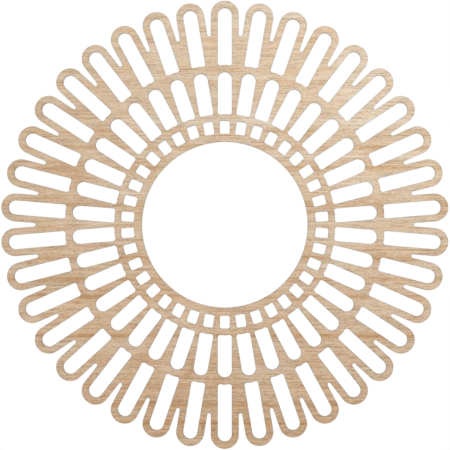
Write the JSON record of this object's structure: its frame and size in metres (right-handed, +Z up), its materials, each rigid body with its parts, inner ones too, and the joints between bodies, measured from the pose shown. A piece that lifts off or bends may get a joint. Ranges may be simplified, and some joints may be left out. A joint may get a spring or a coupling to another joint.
{
  "type": "ceiling medallion",
  "caption": "Flat pierced wooden disc with a scalloped petal rim and rings of slots round a large centre hole, fixed flat to a ceiling round a light fixture.",
  "frame": {"origin": "centre of the back face, which lies flat on the ceiling", "axes": "+Z straight up, out of the back face and into the ceiling; the show face looks down, -Z; one petal points along +Y"},
  "size_m": [0.6076, 0.6096, 0.0063],
  "materials": {
    "wood": "pale straight-grained hardwood, sanded, no gloss"
  },
  "bodies": {
    "root": {"medallion": "wood"}
  },
  "joints": []
}
